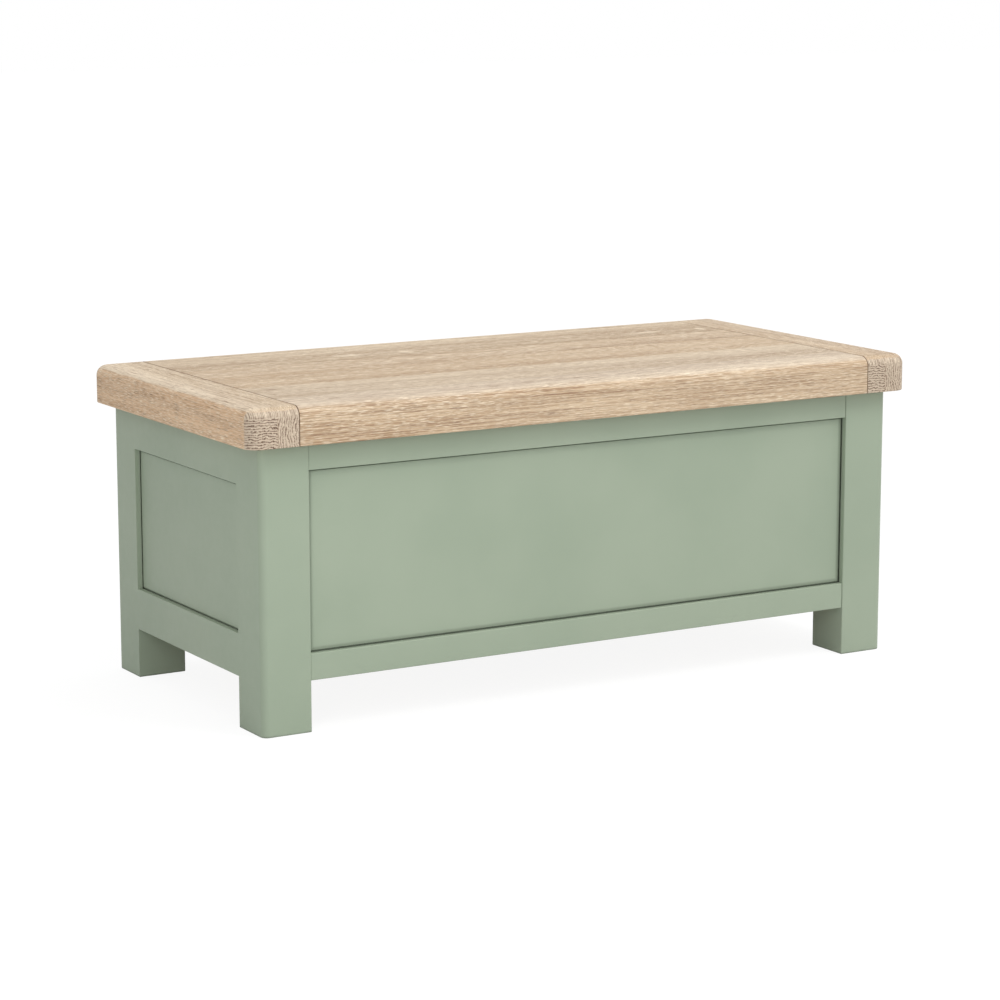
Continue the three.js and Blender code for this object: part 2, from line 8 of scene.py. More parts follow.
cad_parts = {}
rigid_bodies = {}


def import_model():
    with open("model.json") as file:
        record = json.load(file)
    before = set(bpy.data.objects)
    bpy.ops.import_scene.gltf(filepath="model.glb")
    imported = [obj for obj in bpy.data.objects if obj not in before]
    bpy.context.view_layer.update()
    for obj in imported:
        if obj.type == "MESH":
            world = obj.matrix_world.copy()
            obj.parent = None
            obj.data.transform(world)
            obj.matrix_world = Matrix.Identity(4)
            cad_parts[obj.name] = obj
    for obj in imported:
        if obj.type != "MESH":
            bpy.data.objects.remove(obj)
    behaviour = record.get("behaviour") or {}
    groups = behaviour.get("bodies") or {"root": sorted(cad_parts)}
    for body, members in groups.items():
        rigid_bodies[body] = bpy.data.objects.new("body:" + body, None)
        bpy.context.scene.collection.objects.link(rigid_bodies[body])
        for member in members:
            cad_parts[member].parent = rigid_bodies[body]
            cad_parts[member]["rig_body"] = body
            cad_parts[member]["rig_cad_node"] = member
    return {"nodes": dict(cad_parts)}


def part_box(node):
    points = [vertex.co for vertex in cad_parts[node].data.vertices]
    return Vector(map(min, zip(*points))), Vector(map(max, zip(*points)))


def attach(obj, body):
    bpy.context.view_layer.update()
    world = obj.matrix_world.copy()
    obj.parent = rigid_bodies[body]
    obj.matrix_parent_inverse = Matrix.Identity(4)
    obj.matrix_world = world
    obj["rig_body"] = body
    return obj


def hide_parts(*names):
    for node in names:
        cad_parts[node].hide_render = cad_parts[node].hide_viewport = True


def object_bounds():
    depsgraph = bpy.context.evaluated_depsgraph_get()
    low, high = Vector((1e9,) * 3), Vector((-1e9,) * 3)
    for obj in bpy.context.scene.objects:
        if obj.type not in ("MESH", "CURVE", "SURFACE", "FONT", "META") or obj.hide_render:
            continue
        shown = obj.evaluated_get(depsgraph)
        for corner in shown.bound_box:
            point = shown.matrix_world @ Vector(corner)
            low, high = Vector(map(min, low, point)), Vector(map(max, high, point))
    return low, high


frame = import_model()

cad_low, cad_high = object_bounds()
nodes = frame["nodes"]

# The camera stands to the left of the chest and a little above its lid, as in the photograph. Its lens
# is long and has no shift, so that a view from any other side is framed in the same way.
camera_place = (-2.2795, -3.8242, 1.0640)
camera_pitch = math.radians(10.452)
camera_turn = math.radians(-30.701)
lens_length = 108.835

bpy.ops.object.select_all(action="DESELECT")
bpy.ops.object.camera_add(location=camera_place, rotation=(math.pi / 2 - camera_pitch, 0, camera_turn))
camera = bpy.context.object
camera.data.lens = lens_length
bpy.context.scene.camera = camera
bpy.context.scene.view_settings.view_transform = "Standard"


# The floor is a pale studio sweep. To the camera it is white apart from the chest's shadow, and to the
# chest it is a light grey card that gives back part of the light. Under the chest the card is painted
# darker, a painted shadow that gives back less light there.
class Wire:
    """A socket in a material's nodes. Arithmetic on it adds Math nodes, and node() adds any other."""

    def __init__(self, tree, socket):
        self.tree = tree
        self.socket = socket

    def node(self, kind, settings=None, sockets=None, output=0):
        made = self.tree.nodes.new("ShaderNode" + kind)
        for name, value in (settings or {}).items():
            setattr(made, name, value)
        for key, value in (sockets or {}).items():
            if isinstance(value, Wire):
                self.tree.links.new(value.socket, made.inputs[key])
            else:
                made.inputs[key].default_value = value
        return Wire(self.tree, made.outputs[output]) if made.outputs else None

    def math(self, operation, *values):
        return self.node("Math", {"operation": operation}, dict(enumerate(values)))

    def __add__(self, other):
        return self.math("ADD", self, other)

    def __sub__(self, other):
        return self.math("SUBTRACT", self, other)

    def __rsub__(self, other):
        return self.math("SUBTRACT", other, self)

    def __mul__(self, other):
        return self.math("MULTIPLY", self, other)

    def __truediv__(self, other):
        return self.math("DIVIDE", self, other)

    def __pow__(self, other):
        return self.math("POWER", self, other)

    __radd__ = __add__
    __rmul__ = __mul__

    def span(self, start, end, low=0.0, high=1.0):
        """A smooth step from low to high while this value goes from start to end."""
        ends = {"Value": self, "From Min": start, "From Max": end, "To Min": low, "To Max": high}
        return self.node("MapRange", {"interpolation_type": "SMOOTHSTEP"}, ends)

    def between(self, first, second, blend="MIX"):
        """A colour that goes from the first to the second as this value goes from 0 to 1."""
        return self.node("Mix", {"data_type": "RGBA", "blend_type": blend}, {0: self, 6: first, 7: second}, 2)

    def split(self):
        parts = self.node("SeparateXYZ", {}, {0: self}).socket.node
        return [Wire(self.tree, socket) for socket in parts.outputs]


def start_finish(name):
    material = bpy.data.materials.new(name)
    material.use_nodes = True
    material.node_tree.nodes.clear()
    return material, Wire(material.node_tree, None).node("TexCoord", output="Object")


floor_span = 40.0
floor_white = 0.9
floor_catch = 0.14
floor_bounce = 0.67
# The card's painted shadow under the chest, and how far inside the chest's edges it fades in
floor_bounce_painted_shade = 0.2
under_fade = 0.08

bpy.ops.mesh.primitive_plane_add(size=floor_span, location=(0, 0, 0))
floor = bpy.context.object
floor.name = "floor"
floor_finish, start = start_finish("floor_card")
seen = start.node("LightPath", output="Is Camera Ray")
mirrored = start.node("LightPath", output="Is Glossy Ray")
looked_at = seen.math("MAXIMUM", seen, mirrored)
x, y, z = start.split()
# Painted shadow: the card is darker within the chest's footprint and fades out near its edges
beside = x.math("ABSOLUTE", x).span(cad_high.x - under_fade, cad_high.x)
in_front = y.math("ABSOLUTE", y).span(cad_high.y - under_fade, cad_high.y)
in_the_open = beside.math("MAXIMUM", beside, in_front)
light_card = in_the_open.between([floor_bounce_painted_shade] * 3 + [1], [floor_bounce] * 3 + [1])
card = start.node("BsdfDiffuse", {}, {"Color": light_card})
catcher = start.node("BsdfDiffuse", {}, {"Color": (floor_catch, floor_catch, floor_catch, 1)})
white = start.node("Emission", {}, {"Strength": floor_white})
sweep = start.node("AddShader", {}, {0: catcher, 1: white})
surface = start.node("MixShader", {}, {0: looked_at, 1: card, 2: sweep})
start.node("OutputMaterial", {}, {"Surface": surface})
floor.data.materials.append(floor_finish)

# The light is a white tent that is dimmer at the left, a large soft box above and in front, and a weak
# upright strip at the front left that lightens the near corner and fades toward the back.
tent_left = 0.51
tent_right = 1.20
chest_middle = Vector((0, 0, 0.24))
# Each lamp: its name, its place, its width and height, and its power in watts
lamps = [
    ("soft_box", Vector((0.9, -1.8, 2.9)), 1.3, 1.3, 37.5),
    ("strip", Vector((-1.7, -1.6, 0.85)), 0.5, 1.2, 9.5),
]

world = bpy.data.worlds.new("tent")
world.use_nodes = True
bpy.context.scene.world = world
world.node_tree.nodes.clear()
sky = Wire(world.node_tree, None).node("TexCoord", output="Generated").split()
seen = sky[0].node("LightPath", output="Is Camera Ray")
mirrored = seen.node("LightPath", output="Is Glossy Ray")
through = seen.node("LightPath", output="Is Transmission Ray")
looked_at = seen.math("MAXIMUM", seen.math("MAXIMUM", seen, mirrored), through)
cloth = sky[0].span(-1.0, 1.0).between([tent_left] * 3 + [1], [tent_right] * 3 + [1])
tent = seen.node("Background", {}, {"Color": cloth})
backdrop = seen.node("Background", {}, {"Color": (1, 1, 1, 1), "Strength": 1.0})
surface = seen.node("MixShader", {}, {0: looked_at, 1: tent, 2: backdrop})
seen.node("OutputWorld", {}, {"Surface": surface})

for name, place, width, height, power in lamps:
    bpy.ops.object.light_add(type="AREA", location=place)
    lamp = bpy.context.object
    lamp.name = name
    lamp.data.shape = "RECTANGLE"
    lamp.data.size = width
    lamp.data.size_y = height
    lamp.data.energy = power
    lamp.rotation_euler = (place - chest_middle).to_track_quat("Z", "Y").to_euler()


# Posts: 74 mm square, of solid wood, mortised for the rails and grooved for the panels, then sprayed in
# satin sage paint. The outer corner is rounded over, and the edges beside the front rails are eased.
def colour(red, green, blue):
    """A colour read off a paint chart in steps of 255, as the linear light that a shader takes."""
    levels = [step / 255 for step in (red, green, blue)]
    return [level / 12.92 if level < 0.04045 else ((level + 0.055) / 1.055) ** 2.4 for level in levels] + [1]


def block(name, low, high):
    """A box between two corners, with its place in its mesh."""
    low, high = Vector(low), Vector(high)
    bpy.ops.object.select_all(action="DESELECT")
    bpy.ops.mesh.primitive_cube_add(size=1, location=(low + high) / 2, scale=high - low)
    bpy.ops.object.transform_apply(location=True, rotation=True, scale=True)
    piece = bpy.context.object
    piece.name = name
    piece.data.name = name
    return piece


def pick(piece, kind, test):
    """Selects, in edit mode, those of the piece's edges or faces that pass the test."""
    bpy.context.view_layer.objects.active = piece
    bpy.ops.object.mode_set(mode="EDIT")
    bpy.ops.mesh.select_mode(type=kind)
    bpy.ops.mesh.select_all(action="DESELECT")
    mesh = bmesh.from_edit_mesh(piece.data)
    for part in mesh.edges if kind == "EDGE" else mesh.faces:
        if test(part):
            part.select_set(True)
    bmesh.update_edit_mesh(piece.data)


def round_edges(piece, radius, steps, test):
    pick(piece, "EDGE", test)
    bpy.ops.mesh.bevel(offset=radius, segments=steps, affect="EDGES", clamp_overlap=False)
    bpy.ops.object.mode_set(mode="OBJECT")


def apply_modifiers(piece):
    """Makes all the piece's modifiers part of its mesh, and leaves it alone selected."""
    bpy.ops.object.select_all(action="DESELECT")
    piece.select_set(True)
    bpy.context.view_layer.objects.active = piece
    for modifier in list(piece.modifiers):
        bpy.ops.object.modifier_apply(modifier=modifier.name)


def joint(piece, operation, tool):
    """Cuts a tool away from a piece, joins it on or keeps what they share, and puts the tool away."""
    shaping = piece.modifiers.new("joint", "BOOLEAN")
    shaping.operation = operation
    shaping.solver = "EXACT"
    shaping.object = tool
    apply_modifiers(piece)
    bpy.data.objects.remove(tool)


smooth_angle = math.radians(40)


def dress(piece, finish, body, node):
    """Smooths a piece's round edges, gives it its finish, and puts it in place of its CAD node."""
    bpy.ops.object.select_all(action="DESELECT")
    piece.select_set(True)
    bpy.context.view_layer.objects.active = piece
    bpy.ops.object.shade_smooth_by_angle(angle=smooth_angle)
    even = piece.modifiers.new("even", "WEIGHTED_NORMAL")
    even.keep_sharp = True
    apply_modifiers(piece)
    piece.data.materials.clear()
    piece.data.materials.append(finish)
    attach(piece, body)
    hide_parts(node)


def noise(place, scale, detail=2.0, shift=0.0):
    """Noise from 0 to 1 whose scale is given in repeats per metre, all round or on each axis."""
    scales = scale if isinstance(scale, tuple) else (scale, scale, scale)
    moved = place.node("Mapping", {}, {"Vector": place, "Scale": scales, "Location": (shift, shift, shift)})
    return moved.node("TexNoise", {}, {"Vector": moved, "Scale": 1.0, "Detail": detail})


def end_finish(place, tint, roughness, height, depth, **fixed):
    """Closes a finish: a gloss or satin surface with its colour, its roughness and a bump in metres."""
    relief = place.node("Bump", {}, {"Strength": 1.0, "Distance": depth, "Height": height})
    sockets = {"Base Color": tint, "Roughness": roughness, "Normal": relief}
    sockets.update(fixed)
    surface = place.node("BsdfPrincipled", {}, sockets)
    place.node("OutputMaterial", {}, {"Surface": surface})


sage_deep = colour(153, 166, 146)
sage_light = colour(159, 171, 151)
# Painted shade at the foot: its grey, and how high up the foot it reaches
foot_shade_grey = colour(84, 88, 80)
foot_shade_top = 0.0035
# Painted shade in the panel recess: its green, how far onto the field it reaches, and how strong it is
recess_shade_green = colour(62, 70, 58)
recess_shade_reach = 0.0085
recess_shade_share = 0.33
paint_relief = 0.00006


def sage(name, field=None):
    """Satin sage paint, darker at the foot with painted shade. A long panel's field is given by half its
    width and its lower edge, and is a little darker along its sides and its lower edge with painted shade."""
    finish, place = start_finish(name)
    x, y, z = place.split()
    drift = noise(place, 5.0, detail=3.0)
    spray = noise(place, 620.0, detail=1.0)
    flow = noise(place, 90.0, detail=2.0, shift=3.0)
    tint = drift.span(0.3, 0.7).between(sage_deep, sage_light)
    # Painted shade: a patchy grey band on the lowest few millimetres of each foot, standing in for contact
    # shade
    tint = (z.span(foot_shade_top, 0.0) * flow.span(0.3, 0.7, 0.4, 0.7)).between(tint, foot_shade_grey)
    if field:
        half_width, foot = field
        # Painted shade: darker green along the field's sides and lower edge, standing in for shade in the
        # recess
        beside = x.math("ABSOLUTE", x).span(half_width - recess_shade_reach, half_width - recess_shade_reach / 2)
        below = z.span(foot + recess_shade_reach, foot + recess_shade_reach / 2)
        tint = (beside.math("MAXIMUM", beside, below) * recess_shade_share).between(tint, recess_shade_green)
    gloss = flow.span(0.3, 0.7, 0.42, 0.5)
    end_finish(place, tint, gloss, spray * 0.4 + flow, paint_relief, **{"Specular IOR Level": 0.25})
    return finish


sage_paint = sage("sage_paint")

panel_slack = 0.0003
post_corner = 0.010
arris = 0.0015
foot_ease = 0.0012
sharp_angle = math.radians(57)
tenon_thickness = 0.009
tenon_length = 0.030
tenon_shoulder = 0.004
panel_insert = 0.008

# Each side of the case: the names of its rails and panel, and the axis that its rails run along
case_sides = [
    ("front_rail", "front_panel", 0),
    ("back_rail", "back_panel", 0),
    ("end_rail_left", "end_panel_left", 1),
    ("end_rail_right", "end_panel_right", 1),
]


def corners(run_axis, along, across, up):
    """The two corners of a box whose spans are given along a side of the case, across it and up."""
    spans = [along, across, up] if run_axis == 0 else [across, along, up]
    return [Vector([span[end] for span in spans]) for end in (0, 1)]


def tenon_height(rail, at_top):
    """How far up and down a rail's tenons go: they keep off the groove in one of its edges."""
    low, high = (corner.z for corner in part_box(rail))
    groove = panel_insert + panel_slack
    if at_top:
        return [low + groove + tenon_shoulder, high - tenon_shoulder]
    return [low + tenon_shoulder, high - groove - tenon_shoulder]


def side_sockets(rails, panel, run_axis):
    """The mortises and the panel groove of one side, as boxes that reach into the posts at both ends."""
    panel_low, panel_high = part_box(panel)
    rail_low, rail_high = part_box(rails + "_top")
    middle = (panel_low[1 - run_axis] + panel_high[1 - run_axis]) / 2
    half = tenon_thickness / 2 + panel_slack
    reach = [rail_low[run_axis] - panel_slack, rail_high[run_axis] + panel_slack]
    boxes = []
    for rail, at_top in ((rails + "_top", True), (rails + "_bottom", False)):
        low, high = tenon_height(rail, at_top)
        up = [low - panel_slack, high + panel_slack]
        boxes.append(corners(run_axis, reach, [middle - half, middle + half], up))
    grown = Vector((panel_slack, panel_slack, panel_slack))
    boxes.append((panel_low - grown, panel_high + grown))
    return boxes


for depth_name, toward_back in (("front", -1), ("back", 1)):
    for width_name, toward_right in (("left", -1), ("right", 1)):
        node = f"post_{depth_name}_{width_name}"
        low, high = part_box(node)
        middle = (low + high) / 2
        post = block("sage_" + node, low, high)

        def outer_sides(edge):
            """For an upright edge, whether it is at the post's outer side on X, and on Y."""
            a, b = (vert.co for vert in edge.verts)
            upright = abs(a.z - b.z) > (high.z - low.z) / 2
            place = (a + b) / 2 - middle
            return (place.x * toward_right > 0, place.y * toward_back > 0) if upright else None

        def beside_long_rail(edge):
            inner = outer_sides(edge) in [(False, True), (False, False)]
            return inner and edge.calc_face_angle() > sharp_angle

        def at_an_end(edge):
            heights = {vert.co.z for vert in edge.verts}
            return heights == {low.z} or heights == {high.z}

        round_edges(post, post_corner, 12, lambda edge: outer_sides(edge) == (True, True))
        round_edges(post, arris, 3, beside_long_rail)
        round_edges(post, foot_ease, 2, at_an_end)
        for rails, panel, run_axis in case_sides:
            for tool_low, tool_high in side_sockets(rails, panel, run_axis):
                apart = [tool_high[i] < low[i] or tool_low[i] > high[i] for i in range(3)]
                if not any(apart):
                    joint(post, "DIFFERENCE", block("tool", tool_low, tool_high))
        dress(post, sage_paint, "case", node)

# Rails: solid wood, tenoned into the posts, with eased edges and a groove for the panel. The front
# rails stand a little back from the posts' faces, and the others are flush.
shoulder_gap = 0.0003
shoulder_ease = 0.0006

for rails, panel, run_axis in case_sides:
    panel_low, panel_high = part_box(panel)
    across_axis = 1 - run_axis
    for rail, at_top in ((rails + "_top", True), (rails + "_bottom", False)):
        low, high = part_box(rail)
        is_long = run_axis == 0
        shoulder = tenon_length + (shoulder_gap if is_long else 0)
        ends = [low[run_axis] + shoulder, high[run_axis] - shoulder]
        thickness = [low[across_axis], high[across_axis]]
        piece = block("sage_" + rail, *corners(run_axis, ends, thickness, [low.z, high.z]))

        def runs_along(edge):
            a, b = (vert.co for vert in edge.verts)
            return abs(a[run_axis] - b[run_axis]) > (ends[1] - ends[0]) / 2

        def on_shoulder(edge):
            return edge.calc_face_angle() > sharp_angle and not runs_along(edge)

        round_edges(piece, arris, 3, runs_along)
        if is_long:
            round_edges(piece, shoulder_ease, 2, on_shoulder)
        slack = Vector((panel_slack, panel_slack, panel_slack))
        joint(piece, "DIFFERENCE", block("tool", panel_low - slack, panel_high + slack))
        middle = (panel_low[across_axis] + panel_high[across_axis]) / 2
        tenon = [middle - tenon_thickness / 2, middle + tenon_thickness / 2]
        reach = [low[run_axis], high[run_axis]]
        tongue = corners(run_axis, reach, tenon, tenon_height(rail, at_top))
        joint(piece, "UNION", block("tool", *tongue))
        dress(piece, sage_paint, "case", rail)

# Panels: flat boards held loose in the grooves, never glued. A narrow rebate round the field of each
# leaves a dark shadow line where it meets the frame. It is wider over the fields of the end panels.
rebate_width = 0.0022
rebate_depth = 0.004
field_ease = 0.0005
end_top_gap = 0.001
straight_out = 0.9

for rails, panel, run_axis in case_sides:
    across_axis = 1 - run_axis
    low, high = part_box(panel)
    outward = Vector((0, 0, 0))
    outward[across_axis] = math.copysign(1, low[across_axis])
    back_low, back_high = low.copy(), high.copy()
    (back_low if outward[across_axis] < 0 else back_high)[across_axis] -= outward[across_axis] * rebate_depth
    piece = block("sage_" + panel, back_low, back_high)
    pick(piece, "FACE", lambda part: part.normal.dot(outward) > straight_out)
    bpy.ops.mesh.inset(thickness=panel_insert + rebate_width)
    bpy.ops.mesh.extrude_region_move(TRANSFORM_OT_translate={"value": outward * rebate_depth})
    bpy.ops.mesh.bevel(offset=field_ease, segments=2, affect="EDGES")
    bpy.ops.object.mode_set(mode="OBJECT")
    finish = sage_paint
    if run_axis == 0:
        finish = sage("sage_" + panel, (high.x - panel_insert, low.z + panel_insert))
    else:
        for vert in piece.data.vertices:
            if 0 < high.z - panel_insert - vert.co.z < 2 * rebate_width:
                vert.co.z -= end_top_gap
    dress(piece, finish, "case", panel)

# Base: plywood notched round the posts, lying on four softwood cleats that are glued to the rails. It
# is the floor of the blanket space, and is left bare.
ply_veneer = 0.0015
ply_relief = 0.00012
ply_light = colour(214, 190, 150)
ply_dark = colour(190, 160, 118)
cleat_light = colour(216, 190, 146)
cleat_dark = colour(192, 158, 112)
cleat_ease = 0.001
pine_ring = 0.004
pine_wander = 0.02
pine_relief = 0.0001

bare_ply, place = start_finish("bare_ply")
x, y, z = place.split()
plies = (z / ply_veneer).math("FRACT", z / ply_veneer).span(0.42, 0.58)
figure = noise(place, (3.0, 40.0, 3.0), detail=3.0)
hair = noise(place, (12.0, 420.0, 12.0), detail=2.0, shift=2.0)
tone = figure * 0.6 + hair * 0.4
tint = tone.span(0.32, 0.68).between(ply_dark, ply_light)
tint = (plies * 0.25).between(tint, ply_dark)
end_finish(place, tint, tone.span(0.3, 0.7, 0.62, 0.72), hair, ply_relief)

bare_pine, place = start_finish("bare_pine")
x, y, z = place.split()
ring = ((y * y + z * z) ** 0.5 + noise(place, (2.0, 9.0, 9.0)) * pine_wander) / pine_ring
late = ring.math("FRACT", ring).span(0.55, 0.95)
hair = noise(place, (20.0, 20.0, 380.0), detail=2.0)
tint = (late * 0.6 + hair * 0.4).span(0.2, 0.9).between(cleat_light, cleat_dark)
end_finish(place, tint, hair.span(0.3, 0.7, 0.65, 0.75), hair, pine_relief)

for side in ("front", "back", "left", "right"):
    node = "base_cleat_" + side
    cleat = block("pine_" + node, *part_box(node))
    round_edges(cleat, cleat_ease, 2, lambda edge: True)
    dress(cleat, bare_pine, "case", node)

notch_slack = 0.0003
notch_over = 0.1
low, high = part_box("base_board")
board = block("ply_base_board", low, high)
for toward_right in (-1, 1):
    for toward_back, post_name in ((-1, "post_front_right"), (1, "post_back_right")):
        post_low, post_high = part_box(post_name)
        inner_x = post_low.x - notch_slack
        inner_y = post_low.y - notch_slack if toward_back > 0 else post_high.y + notch_slack
        xs = sorted([toward_right * inner_x, toward_right * (high.x + notch_over)])
        ys = sorted([inner_y, (high.y + notch_over) if toward_back > 0 else (low.y - notch_over)])
        notch_low = (xs[0], ys[0], low.z - notch_over)
        notch_high = (xs[1], ys[1], high.z + notch_over)
        joint(board, "DIFFERENCE", block("tool", notch_low, notch_high))
dress(board, bare_ply, "case", "base_board")

# Pads: small domed discs of clear grey rubber, one stuck on the top of each front post. They keep the
# closed lid off the paint.
pad_grey = colour(196, 195, 190)
pad_dark = colour(182, 181, 176)
pad_dome = 0.001
pad_relief = 0.00005

soft_pad, place = start_finish("soft_pad")
cloud = noise(place, 300.0)
tint = cloud.span(0.3, 0.7).between(pad_dark, pad_grey)
end_finish(place, tint, cloud.span(0.3, 0.7, 0.45, 0.55), cloud, pad_relief)

for side in ("left", "right"):
    node = "lid_bumper_" + side
    low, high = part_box(node)
    bpy.ops.object.select_all(action="DESELECT")
    middle = (low + high) / 2
    pad_radius = (high.x - low.x) / 2
    bpy.ops.mesh.primitive_cylinder_add(vertices=48, radius=pad_radius, depth=high.z - low.z, location=middle)
    bpy.ops.object.transform_apply(location=True, rotation=True, scale=True)
    pad = bpy.context.object
    pad.name = "rubber_" + node
    round_edges(pad, pad_dome, 5, lambda edge: all(vert.co.z > middle.z for vert in edge.verts))
    dress(pad, soft_pad, "case", node)

# Lid: bleached and limed oak. Five boards run end to end and are tongued into a cap across each end,
# and the whole is then rounded over along its top edge and at its corners.
lid_corner = 0.021
lid_round = 0.015
seam_ease = 0.0005
glue_ease = 0.00015
glue_line_x = 0.507
glue_line_half = 0.0007
hair_breadth = 0.0001
# The rings: how far apart they are, and how far they sway, wobble, crumble and waver off a true circle
ring_spacing = 0.0037
ring_sway = 0.010
ring_wobble = 0.004
ring_crumble = 0.0024
ring_waver = 0.0075
# How far below the top the tone turns into that of the sides, the round edge is lightened with fewer
# pores and more lime flecks, partly limed wear and partly a painted highlight, and the end grain is
# brushed out
oak_wrap_low = 0.0054
oak_wrap_high = 0.0028
oak_wrap_waver = 0.004
crest_low = 0.009
crest_full = 0.005
crest_high = 0.0015
rim_low = 0.016
rim_high = 0.009
oak_relief = 0.00016
lime_white = colour(240, 225, 200)
pore_brown = colour(138, 108, 84)
end_tone = colour(199, 181, 160)
end_brown = colour(94, 67, 53)
seam_brown = colour(104, 74, 52)
seam_dirt = 0.0008
cap_seam = 0.0008

boards = [f"lid_board_{number}" for number in range(1, 6)]
caps = ["lid_cap_left", "lid_cap_right"]
lid_boxes = [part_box(node) for node in boards + caps]
lid_low = Vector([min(box[0][i] for box in lid_boxes) for i in range(3)])
lid_high = Vector([max(box[1][i] for box in lid_boxes) for i in range(3)])
field_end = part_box("lid_cap_right")[0].x
board_thickness = 0.024
thick_edge = 0.074
hollow_top = lid_high.z - board_thickness
hollow_half = lid_high.y - thick_edge


def oak(name, axis, piths, tones, turn, edge_tone, seed, knots=(), rays=()):
    """Limed oak with its grain along X or Y. Its tone goes from the first to the second across the grain,
    between two parts of its width given as turn, and to a third on the sides. The rings lie round a pith,
    given as its place across the grain and up. A cap is glued up from two strips, with a pith for each,
    and shows its end grain. Knots and rays are spots on top, given as place, half length and half width."""
    finish, place = start_finish(name)
    position = place.split()
    across = position[1 - axis]
    up = position[2]
    is_cap = len(piths) == 2

    def drawn_out(along, wide, detail, shift):
        """Noise that is drawn out along the grain, with its repeats per metre along and across it."""
        scales = [wide, wide, wide]
        scales[axis] = along
        return noise(place, tuple(scales), detail, seed + shift)

    sway = drawn_out(1.0, 5.0, 1.0, 0.0) * ring_sway + drawn_out(6.0, 70.0, 2.0, 4.0) * ring_wobble
    crumble = drawn_out(60.0, 420.0, 2.0, 31.0)
    waver = drawn_out(16.0, 120.0, 2.0, 43.0)
    radii = []
    for pith_across, pith_up in piths:
        a = across - pith_across
        b = up - pith_up
        radii.append((a * a + b * b) ** 0.5)
    radius = radii[0]
    if is_cap:
        glue_x = math.copysign(glue_line_x, piths[0][0])
        second = across.math("GREATER_THAN", across, glue_x)
        radius = radii[0] * (1 - second) + radii[1] * second
    ring = (radius + sway + crumble * ring_crumble + waver * ring_waver) / ring_spacing
    phase = ring.math("FRACT", ring)
    late = phase.span(0.38, 0.74) * phase.span(0.86, 1.0, 1.0, 0.0)

    patch = drawn_out(1.6, 20.0, 2.0, 15.0).span(0.32, 0.68)
    band = drawn_out(1.4, 75.0, 2.0, 11.0).span(0.34, 0.66)
    streak = drawn_out(9.0, 600.0, 3.0, 7.0).span(0.38, 0.62)
    flecked = drawn_out(3.0, 40.0, 1.0, 27.0).span(0.35, 0.65, 0.65, 1.0)
    # The crest: a band on the round edge with more lime flecks and fewer dark hairs, partly limed wear and
    # partly a painted highlight
    crest = up.span(lid_high.z - crest_low, lid_high.z - crest_full)
    crest = crest * up.span(lid_high.z, lid_high.z - crest_high)
    fleck = drawn_out(75.0, 900.0, 2.0, 19.0).span(0.48, 0.66) * flecked * (1 + crest * 0.2)
    hair = drawn_out(45.0, 900.0, 2.0, 23.0).span(0.52, 0.68) * (1 - crest * 0.4)

    low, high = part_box(name)
    turn_start, turn_end = (low[1 - axis] + part * (high[1 - axis] - low[1 - axis]) for part in turn)
    tint = across.span(turn_start, turn_end).between(*tones)
    wrap_top = lid_high.z + oak_wrap_waver / 2
    on_top = (up + waver * oak_wrap_waver).span(wrap_top - oak_wrap_low, wrap_top - oak_wrap_high)
    tint = on_top.between(edge_tone, tint)
    lined = 0.5 if is_cap else 1 - on_top * 0.6
    pores = 1.0 if is_cap else on_top * 0.35 + 0.85
    brown = (1 - streak) * lined * 0.46 + hair * 0.54 * pores + (1 - band) * 0.20 + (1 - patch) * 0.14
    lime = fleck * 0.62 * pores + streak * lined * 0.20 + patch * 0.14
    if is_cap:
        facing = place.node("TexCoord", output="Normal").split()[axis]
        facing = facing.math("ABSOLUTE", facing)
        end = facing.span(0.12, 0.34) * (1 - on_top)
        brushed = noise(place, (1200.0, 30.0, 30.0), 2.0, seed + 37.0)
        rim = up.span(lid_high.z - rim_low, lid_high.z - rim_high)
        worn = noise(place, (230.0, 230.0, 230.0), 3.0, seed + 41.0)
        broken = brushed.span(0.42, 0.56, 0.6, 1.0)
        line = late * worn.span(0.32, 0.52, 0.3, 1.0) * broken * (1.15 - second * 0.25)
        line = line * (1 - rim) + rim * brushed.span(0.48, 0.64) * 0.8
        line = line * facing.span(0.15, 0.85, 0.6, 1.0)
        light = crumble.span(0.54, 0.66) + rim * brushed.span(0.50, 0.36)
        glue = (across - glue_x).math("ABSOLUTE", across - glue_x).span(0.0, glue_line_half, 1.0, 0.0)
        tint = end.between(tint, end_tone)
        tint = (end * line).between(tint, end_brown)
        brown = brown * (1 - end) + end * glue * 0.7
        lime = lime * (1 - end) + end * light * 0.35

    def spot(x, y, half_length, half_width):
        a = (position[0] - x) / half_length
        b = (position[1] - y) / half_width
        return (a * a + b * b + crumble).span(1.4, 0.5) * on_top

    for knot in knots:
        brown = brown + spot(*knot)
    for ray in rays:
        lime = lime + spot(*ray) * 0.4
    tint = brown.between(tint, pore_brown)
    tint = lime.between(tint, lime_white)
    reach = position[0].math("ABSOLUTE", position[0])
    if is_cap:
        along = position[axis].math("ABSOLUTE", position[axis])
        inside = up.math("LESS_THAN", up, hollow_top) * along.span(hollow_half, hollow_half - seam_dirt)
        seam = reach.span(field_end + seam_dirt, field_end) * (1 - inside)
    else:
        seam = reach.span(field_end - cap_seam - seam_dirt, field_end - cap_seam)
    tint = (seam * (on_top * 0.5 + 0.5)).between(tint, seam_brown)
    relief = streak * 0.7 - late * 0.2 - hair
    roughness = streak.span(0.2, 0.8, 0.66, 0.54)
    end_finish(place, tint, roughness, relief, oak_relief, **{"Specular IOR Level": 0.2})
    return finish


bpy.ops.object.select_all(action="DESELECT")
slab = block("lid_slab", lid_low, lid_high)
round_edges(slab, lid_corner, 14, lambda edge: abs(edge.verts[0].co.z - edge.verts[1].co.z) > lid_round)
top_rim = lid_high.z - hair_breadth
round_edges(slab, lid_round, 10, lambda edge: all(vert.co.z > top_rim for vert in edge.verts))
bottom_rim = lid_low.z + hair_breadth
round_edges(slab, arris, 3, lambda edge: all(vert.co.z < bottom_rim for vert in edge.verts))


cut_angle = math.radians(69)


